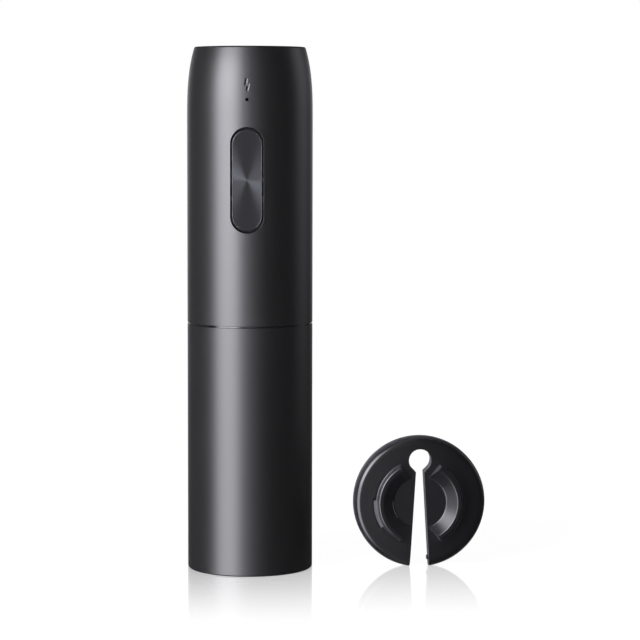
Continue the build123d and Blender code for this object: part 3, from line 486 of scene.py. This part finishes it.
def charging_inlet(name, steel, plastic, contact, centre, half_w, half_h, wall, tongue_t, pitch):
    """Steel shell with round ends, a dark core in it, and bright contacts on both faces of its tongue."""
    finish = Finish(name)
    place = finish.place(centre)
    across, _, up = finish.axes(place)
    side, level = (field.math("ABSOLUTE", field, 0.0) for field in (across, up))
    past = side.math("MAXIMUM", side - (half_w - half_h), 0.0)
    inset = half_h - (past * past + up * up) ** 0.5
    core = finish.step(inset, wall * 1.2, wall * 1.4)
    row = finish.step(finish.stripes(across, pitch), 0.4, 0.6)
    row = row * (1.0 - finish.step(side, 5.5 * pitch, 5.6 * pitch))
    off = level - tongue_t / 2
    row = row * (1.0 - finish.step(off.math("ABSOLUTE", off, 0.0), 0.00001, 0.00002))
    scuffs = finish.noise(place, 0.0008, detail=3.0)
    shell = finish.shades(scuffs, steel, 0.85, 1.1)
    finish.varies(
        Base_Color=finish.mix(row, finish.mix(core, shell, (*plastic, 1.0)), (*contact, 1.0)),
        Metallic=1.0 - core * (1.0 - row),
        Roughness=scuffs * 0.15 + core * 0.15 + 0.22,
    )
    finish.bump(scuffs, 0.000003)
    return finish.material


FINISHED = set()


def finish_nodes(material, *names):
    """Put a material on CAD nodes."""
    for name in names:
        mesh = frame["nodes"][name].data
        mesh.materials.clear()
        mesh.materials.append(material)
        FINISHED.add(name)


class OPENER_OT_shells(Operator):
    """Finish the two shells and the frame that shows in the groove between them"""

    bl_idname = "opener.shells"
    bl_label = "Shells"

    def execute(self, context):
        colours = context.scene.opener_colours
        gloss = {"Specular_IOR_Level": 1.0, "IOR": 1.6}
        shell = moulded(
            "shell_black", colours.shell_black, roughness=0.38, grain=0.0004, depth=0.000003, **gloss
        )
        finish_nodes(shell, "upper_housing", "lower_sleeve")
        satin = moulded(
            "frame_satin", colours.frame_black, roughness=0.14, grain=0.0005, depth=0.000003, **gloss
        )
        finish_nodes(satin, "mid_frame")
        return {"FINISHED"}


class OPENER_OT_switch(Operator):
    """Finish the rocker switch: its plate, carrier and pin, the light guide and the lamp behind it"""

    bl_idname = "opener.switch"
    bl_label = "Switch"

    def execute(self, context):
        colours = context.scene.opener_colours
        low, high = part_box("button_plate")
        centre = (low + high) / 2
        plate = spun_metal(
            "button_metal",
            colours.button_metal,
            colours.button_edge,
            centre,
            half_w=(high.x - low.x) / 2,
            half_h=(high.z - low.z) / 2,
            bead_w=0.0005,
            slopes=(-0.42, -0.36, -0.3, 0.3, 0.36, 0.42),
        )
        finish_nodes(plate, "button_plate")
        carrier = moulded(
            "frame_black",
            colours.frame_black,
            roughness=0.55,
            grain=0.0005,
            depth=0.000006,
            Specular_IOR_Level=0.25,
        )
        finish_nodes(carrier, "button_carrier")
        pin = drawn_metal("pin_steel", colours.steel, roughness=0.3, scale=(0.05, 1.0, 1.0))
        finish_nodes(pin, "button_pin")
        guide = moulded(
            "guide_smoke",
            colours.guide_smoke,
            roughness=0.6,
            grain=0.0004,
            depth=0.000002,
            Specular_IOR_Level=0.1,
        )
        finish_nodes(guide, "light_guide")
        lamp = moulded("led_white", colours.led_white, roughness=0.25, grain=0.0003, depth=0.000002)
        finish_nodes(lamp, "status_led")
        return {"FINISHED"}


class OPENER_OT_foil_cutter(Operator):
    """Finish the foil cutter and its blades"""

    bl_idname = "opener.foil_cutter"
    bl_label = "Foil cutter"

    def execute(self, context):
        colours = context.scene.opener_colours
        axis = (sin(CUTTER_YAW), -cos(CUTTER_YAW), 0.0)
        # the cutter's walls are painted 7 times paler than its face, as painted light
        plastic = polished("cutter_black", colours.cutter_black, face=0.16, wall=0.5, painted_wall_light=7.0, axis=axis)
        finish_nodes(plastic, "foil_cutter_left", "foil_cutter_right")
        steel = drawn_metal("blade_steel", colours.blade_steel, roughness=0.3, scale=(1.0, 1.0, 0.2))
        finish_nodes(steel, "cutter_blade_left", "cutter_blade_right")
        return {"FINISHED"}


class OPENER_OT_living_hinge(Operator):
    """Join the foil cutter's halves over the keyhole by the web on which they flex"""

    bl_idname = "opener.living_hinge"
    bl_label = "Living hinge"

    def execute(self, context):
        left, right = (frame["nodes"][f"foil_cutter_{side}"] for side in ("left", "right"))
        towards = Vector((cos(CUTTER_YAW), sin(CUTTER_YAW), 0.0))
        start = max(towards.dot(left.matrix_world @ vertex.co) for vertex in left.data.vertices)
        end = min(towards.dot(right.matrix_world @ vertex.co) for vertex in right.data.vertices)
        web = bpy.data.objects.new("hinge_web", left.data.copy())
        web.data.transform(left.matrix_world)
        context.collection.objects.link(web)
        bpy.ops.object.select_all(action="DESELECT")
        web.select_set(True)
        context.view_layer.objects.active = web
        context.tool_settings.mesh_select_mode = (False, False, True)
        bpy.ops.object.mode_set(mode="EDIT")
        bpy.ops.mesh.select_all(action="SELECT")
        bpy.ops.mesh.remove_doubles(threshold=0.000001)
        bpy.ops.mesh.select_all(action="DESELECT")
        bpy.ops.object.mode_set(mode="OBJECT")
        # keep the left half's end face, and draw it out to the right half's
        for face in web.data.polygons:
            face.select = towards.dot(face.center) < start - 0.00001
        bpy.ops.object.mode_set(mode="EDIT")
        bpy.ops.mesh.delete(type="FACE")
        bpy.ops.mesh.select_all(action="SELECT")
        bpy.ops.mesh.extrude_region_move(TRANSFORM_OT_translate={"value": towards * (end - start)})
        bpy.ops.mesh.select_all(action="SELECT")
        bpy.ops.mesh.normals_make_consistent(inside=False)
        bpy.ops.object.mode_set(mode="OBJECT")
        bpy.ops.mesh.customdata_custom_splitnormals_clear()
        bpy.ops.object.shade_flat()
        web.data.materials.clear()
        web.data.materials.append(left.data.materials[0])
        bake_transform(web)
        return {"FINISHED"}


class OPENER_OT_bottle_end(Operator):
    """Finish the neck guide, the corkscrew and its hub"""

    bl_idname = "opener.bottle_end"
    bl_label = "Bottle end"

    def execute(self, context):
        colours = context.scene.opener_colours
        liner = moulded("liner_grey", colours.liner_grey, roughness=0.45, grain=0.0006, depth=0.000008)
        finish_nodes(liner, "neck_guide")
        finish_nodes(coated_steel("worm_coat", colours.worm_coat), "corkscrew")
        hub = drawn_metal("hub_steel", colours.steel, roughness=0.28, scale=(1.0, 1.0, 6.0))
        finish_nodes(hub, "screw_hub")
        dowel = drawn_metal("dowel_steel", colours.steel, roughness=0.25, scale=(0.05, 0.05, 1.0))
        finish_nodes(dowel, "hub_pin")
        return {"FINISHED"}


class OPENER_OT_gearbox(Operator):
    """Finish the two-stage planetary gearbox"""

    bl_idname = "opener.gearbox"
    bl_label = "Gearbox"

    def execute(self, context):
        colours = context.scene.opener_colours
        box = moulded("box_plastic", colours.box_plastic, roughness=0.5, grain=0.0008, depth=0.00001)
        finish_nodes(box, "gear_ring", "gearbox_cover")
        gears = moulded(
            "gear_plastic",
            colours.gear_plastic,
            roughness=0.3,
            grain=0.001,
            depth=0.000004,
            Subsurface_Weight=0.2,
            Subsurface_Scale=0.001,
        )
        planets = [f"stage{stage}_planet_{number}" for stage in (1, 2) for number in (1, 2, 3)]
        finish_nodes(gears, *planets)
        turned = drawn_metal("carrier_steel", colours.steel, roughness=0.3, scale=(1.0, 1.0, 6.0))
        finish_nodes(turned, "output_carrier", "first_carrier")
        ground = drawn_metal("shaft_steel", colours.steel, roughness=0.22, scale=(1.0, 1.0, 0.05))
        finish_nodes(ground, "stage1_pins", "stage2_pins", "gearbox_screws")
        finish_nodes(sintered_metal("bronze", colours.bronze), "output_bush", "motor_pinion")
        return {"FINISHED"}


class OPENER_OT_motor(Operator):
    """Finish the motor"""

    bl_idname = "opener.motor"
    bl_label = "Motor"

    def execute(self, context):
        colours = context.scene.opener_colours
        finish_nodes(plated_steel("can_steel", colours.can_steel), "motor_can")
        endcap = moulded("endcap_plastic", colours.box_plastic, roughness=0.42, grain=0.0006, depth=0.000008)
        finish_nodes(endcap, "motor_endcap")
        finish_nodes(sintered_metal("bush_bronze", colours.bronze), "motor_bushes")
        finish_nodes(ferrite("magnet_ferrite", colours.magnet_iron), "motor_magnets")
        finish_nodes(stacked_steel("core_sheets", colours.magnet_iron, pitch=0.0005), "rotor_core")
        bars = drawn_metal("copper_bars", colours.bronze, roughness=0.3, scale=(1.0, 1.0, 0.05))
        finish_nodes(bars, "commutator")
        ground = drawn_metal("motor_steel", colours.steel, roughness=0.22, scale=(1.0, 1.0, 0.05))
        finish_nodes(ground, "rotor_shaft", "motor_screws")
        return {"FINISHED"}


class OPENER_OT_battery(Operator):
    """Finish the cells, their holder and their contacts"""

    bl_idname = "opener.battery"
    bl_label = "Battery"

    def execute(self, context):
        colours = context.scene.opener_colours
        low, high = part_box("battery_cells")
        sleeve = film_sleeve("cell_wrap", colours.cell_wrap, colours.can_steel, low.z, high.z)
        finish_nodes(sleeve, "battery_cells")
        holder = moulded("holder_plastic", colours.box_plastic, roughness=0.5, grain=0.0008, depth=0.00001)
        finish_nodes(holder, "battery_holder")
        contacts = drawn_metal("contact_bronze", colours.bronze, roughness=0.28, scale=(0.1, 1.0, 1.0))
        finish_nodes(contacts, "battery_contacts")
        return {"FINISHED"}


class OPENER_OT_boards(Operator):
    """Finish the two boards, what is soldered to them, and their screws"""

    bl_idname = "opener.boards"
    bl_label = "Boards"

    def execute(self, context):
        colours = context.scene.opener_colours
        board = circuit_board("board_green", colours.board_green, colours.bronze, pitch=0.0009)
        finish_nodes(board, "control_board", "charge_board")
        package = moulded("chip_black", colours.chip_black, roughness=0.5, grain=0.0002, depth=0.000006)
        finish_nodes(package, "control_chip", "switch_bodies")
        button = moulded("plunger_black", colours.chip_black, roughness=0.35, grain=0.0002, depth=0.000003)
        finish_nodes(button, "switch_plunger_upper", "switch_plunger_lower")
        low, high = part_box("charge_socket")
        inlet = charging_inlet(
            "inlet_steel",
            colours.steel,
            colours.chip_black,
            colours.contact_gold,
            (low + high) / 2,
            half_w=(high.x - low.x) / 2,
            half_h=(high.z - low.z) / 2,
            wall=0.0003,
            tongue_t=0.0007,
            pitch=0.0005,
        )
        finish_nodes(inlet, "charge_socket")
        screws = drawn_metal("screw_steel", colours.steel, roughness=0.28, scale=(1.0, 1.0, 1.0))
        finish_nodes(screws, "board_screws", "charge_screws")
        return {"FINISHED"}


def spread(*degrees):
    """Bearings in radians."""
    return [radians(angle) for angle in degrees]


# where the wall's lights rise and fall: bearings from the front, positive to the right, and heights
WALL_HEIGHT = 3.2
KEY_LOWER_EDGE = (0.06, 0.28)
KEY_TOP = (0.4, 1.35)
KEY_MIRROR_FOOT = (-1.3, -0.3)
FRONT_BEARINGS = (spread(-45, -15), spread(-15, 30))
FRONT_ENDS = (0.4, 0.8)
FRONT_LOSS = 0.3  # share that the front light loses towards its ends
LEFT_BEARINGS = spread(-95, -65)
LEFT_FOOT = (-0.35, 0.0)
LEFT_LOSS = 0.7  # share that the left light loses towards its foot
RIGHT_BEARINGS = (spread(90, 106), spread(122, 140))
RIGHT_HEIGHTS = ((-0.12, 0.3), (0.6, 1.1))
BACK_SOFT = radians(12)
BACK_TOP_SOFT = 0.1

# where the floor's mirror begins and ends, and how far back it counts from at the foil cutter
FLOOR_SIZE = 1.4
FLOOR_TONE = 0.22
MIRROR_SIDES = ((-0.08, -0.04), (0.105, 0.135))
MIRROR_FRONT = 0.03
MIRROR_BEHIND = (0.04, 0.1)
MIRROR_LOSS = 0.3  # share of the mirror that is lost from left to right
MIRROR_LOSS_SPAN = (-0.05, 0.1)
CUTTER_SIDE = (0.03, 0.042)
CUTTER_FOOT = 0.02


class OPENER_OT_stage(Operator):
    """Set the floor, the wall of light and the camera"""

    bl_idname = "opener.stage"
    bl_label = "Stage"

    def execute(self, context):
        studio = context.scene.opener_studio
        self.world(context, studio)
        self.floor(studio)
        self.wall(studio)
        self.camera(context, studio)
        return {"FINISHED"}

    def plain_material(self, name):
        """A material with no shader yet."""
        material = bpy.data.materials.new(name)
        material.use_nodes = True
        material.node_tree.nodes.remove(material.node_tree.nodes["Principled BSDF"])
        return material, Nodes(material.node_tree)

    def world(self, context, studio):
        """White wherever it is seen, mirrored or looked through to, and a plain fill for diffuse light."""
        world = bpy.data.worlds.new("studio_white")
        world.use_nodes = True
        context.scene.world = world
        nodes = Nodes(world.node_tree)
        white = nodes.ray("Camera", "Glossy", "Transmission")
        background = world.node_tree.nodes["Background"]
        background.inputs["Color"].default_value = (1.0, 1.0, 1.0, 1.0)
        nodes.fill(background.inputs["Strength"], white * (1.0 - studio.fill) + studio.fill)

    def floor(self, studio):
        """White floor that mirrors things near their feet, takes their shadow and is clear from below."""
        bpy.ops.mesh.primitive_plane_add(size=FLOOR_SIZE, location=(0.0, 0.0, 0.0))
        floor = bpy.context.object
        floor.name = "floor"
        material, nodes = self.plain_material("floor_white")
        paper = nodes.add("ShaderNodeBsdfDiffuse", {}, {"Color": (FLOOR_TONE, FLOOR_TONE, FLOOR_TONE, 1.0)})
        seen = nodes.ray("Camera", "Glossy", "Transmission")
        glow = nodes.add("ShaderNodeEmission", {}, {"Strength": seen * studio.floor_glow})
        lit = nodes.add("ShaderNodeAddShader", {}, {0: paper, 1: glow})
        mirror = nodes.add("ShaderNodeBsdfGlossy", {}, {"Color": (1.0, 1.0, 1.0, 1.0), "Roughness": 0.0})
        across, depth, _ = nodes.axes(nodes.place())
        foot = depth - nodes.step(across, *CUTTER_SIDE) * CUTTER_FOOT
        share = nodes.step(foot, -studio.floor_fade, MIRROR_FRONT) * (1.0 - nodes.step(depth, *MIRROR_BEHIND))
        share = share * nodes.band(across, *MIRROR_SIDES) * studio.floor_mirror
        share = share * (1.0 - nodes.step(across, *MIRROR_LOSS_SPAN) * MIRROR_LOSS)
        top = nodes.add("ShaderNodeMixShader", {}, {0: share, 1: lit, 2: mirror})
        below = nodes.add("ShaderNodeNewGeometry", out="Backfacing")
        clear = nodes.add("ShaderNodeBsdfTransparent")
        nodes.show(nodes.add("ShaderNodeMixShader", {}, {0: below, 1: top, 2: clear}))
        floor.data.materials.append(material)
        floor.visible_glossy = False
        floor.visible_shadow = False

    def wall(self, studio):
        """Unseen wall of light: a tall key at the front left, a strip at the right, a white sheet behind."""
        bpy.ops.mesh.primitive_cylinder_add(vertices=180, radius=studio.wall_radius, depth=WALL_HEIGHT)
        wall = bpy.context.object
        wall.name = "light_wall"
        material, nodes = self.plain_material("wall_light")
        across, depth, up = nodes.axes(nodes.place())
        bearing = across.math("ARCTAN2", across, 0.0 - depth)
        soft = studio.key_soft
        edges = [(edge - soft, edge + soft) for edge in (studio.key_left, studio.key_right)]
        rise = nodes.step(up, *KEY_LOWER_EDGE)
        above = rise * (1.0 - nodes.step(up, *KEY_TOP))
        below = (1.0 - rise) * nodes.step(up, *KEY_MIRROR_FOOT) * studio.key_mirror
        key = nodes.band(bearing, *edges) * (above + below) * studio.key_light
        front = nodes.band(bearing, *FRONT_BEARINGS)
        front = front * (1.0 - nodes.step(up.math("ABSOLUTE", up, 0.0), *FRONT_ENDS) * FRONT_LOSS)
        left = 1.0 - nodes.step(bearing, *LEFT_BEARINGS)
        left = left * (nodes.step(up, *LEFT_FOOT) * LEFT_LOSS + (1.0 - LEFT_LOSS))
        right = nodes.band(bearing, *RIGHT_BEARINGS) * nodes.band(up, *RIGHT_HEIGHTS)
        behind = across.math("ARCTAN2", across, depth) + studio.back_aside
        off = behind.math("ABSOLUTE", behind, 0.0) - up * studio.back_flare
        back = 1.0 - nodes.step(off, studio.back_half - BACK_SOFT, studio.back_half + BACK_SOFT)
        back = back * (1.0 - nodes.step(up, studio.back_top - BACK_TOP_SOFT, studio.back_top + BACK_TOP_SOFT))
        tone = front * studio.front_light + left * studio.left_light + right * studio.right_light
        tone = tone + back * studio.back_light + studio.wall_tone
        colour = nodes.add(
            "ShaderNodeVectorMath", {"operation": "SCALE"}, {0: studio.light_colour, "Scale": key + tone}
        )
        glow = nodes.add("ShaderNodeEmission", {}, {"Color": colour})
        # the floor's mirror shows the wall as white
        white = nodes.add("ShaderNodeEmission")
        nodes.show(nodes.add("ShaderNodeMixShader", {}, {0: nodes.ray("Singular"), 1: glow, 2: white}))
        wall.data.materials.append(material)
        wall.visible_camera = False
        wall.visible_transmission = False
        wall.visible_shadow = False

    def camera(self, context, studio):
        """Camera at the photograph's place."""
        bpy.ops.object.camera_add(location=studio.camera_place)
        camera = bpy.context.object
        camera.rotation_euler = (
            Matrix.Rotation(studio.camera_turn, 3, "Z")
            @ Matrix.Rotation(pi / 2 - studio.camera_dip, 3, "X")
            @ Matrix.Rotation(studio.camera_roll, 3, "Z")
        ).to_euler()
        camera.data.lens = studio.lens
        camera.data.sensor_width = 36.0
        context.scene.camera = camera
        context.scene.view_settings.view_transform = "Standard"


class OPENER_PT_sidebar(Panel):
    """Lists the steps that finish the opener"""

    bl_idname = "OPENER_PT_sidebar"
    bl_label = "Wine opener"
    bl_space_type = "VIEW_3D"
    bl_region_type = "UI"
    bl_category = "Opener"

    def draw(self, context):
        for step in STEPS:
            self.layout.operator(step.bl_idname)


STEPS = (
    OPENER_OT_shells,
    OPENER_OT_switch,
    OPENER_OT_foil_cutter,
    OPENER_OT_living_hinge,
    OPENER_OT_bottle_end,
    OPENER_OT_gearbox,
    OPENER_OT_motor,
    OPENER_OT_battery,
    OPENER_OT_boards,
    OPENER_OT_stage,
)
CLASSES = (OpenerColours, OpenerStudio, *STEPS, OPENER_PT_sidebar)


def register():
    """Register the classes and hang the settings on the scene."""
    for cls in CLASSES:
        bpy.utils.register_class(cls)
    bpy.types.Scene.opener_colours = PointerProperty(type=OpenerColours)
    bpy.types.Scene.opener_studio = PointerProperty(type=OpenerStudio)


def unregister():
    """Take the settings and the classes away again."""
    del bpy.types.Scene.opener_studio
    del bpy.types.Scene.opener_colours
    for cls in reversed(CLASSES):
        bpy.utils.unregister_class(cls)


def main():
    """Run every step in order."""
    register()
    bpy.ops.object.select_all(action="DESELECT")
    bpy.ops.opener.shells()
    bpy.ops.opener.switch()
    bpy.ops.opener.foil_cutter()
    bpy.ops.opener.living_hinge()
    bpy.ops.opener.bottle_end()
    bpy.ops.opener.gearbox()
    bpy.ops.opener.motor()
    bpy.ops.opener.battery()
    bpy.ops.opener.boards()
    bpy.ops.opener.stage()
    bare = set(frame["nodes"]) - FINISHED
    if bare:
        raise RuntimeError(f"no finish on {sorted(bare)}")


if __name__ == "__main__":
    main()
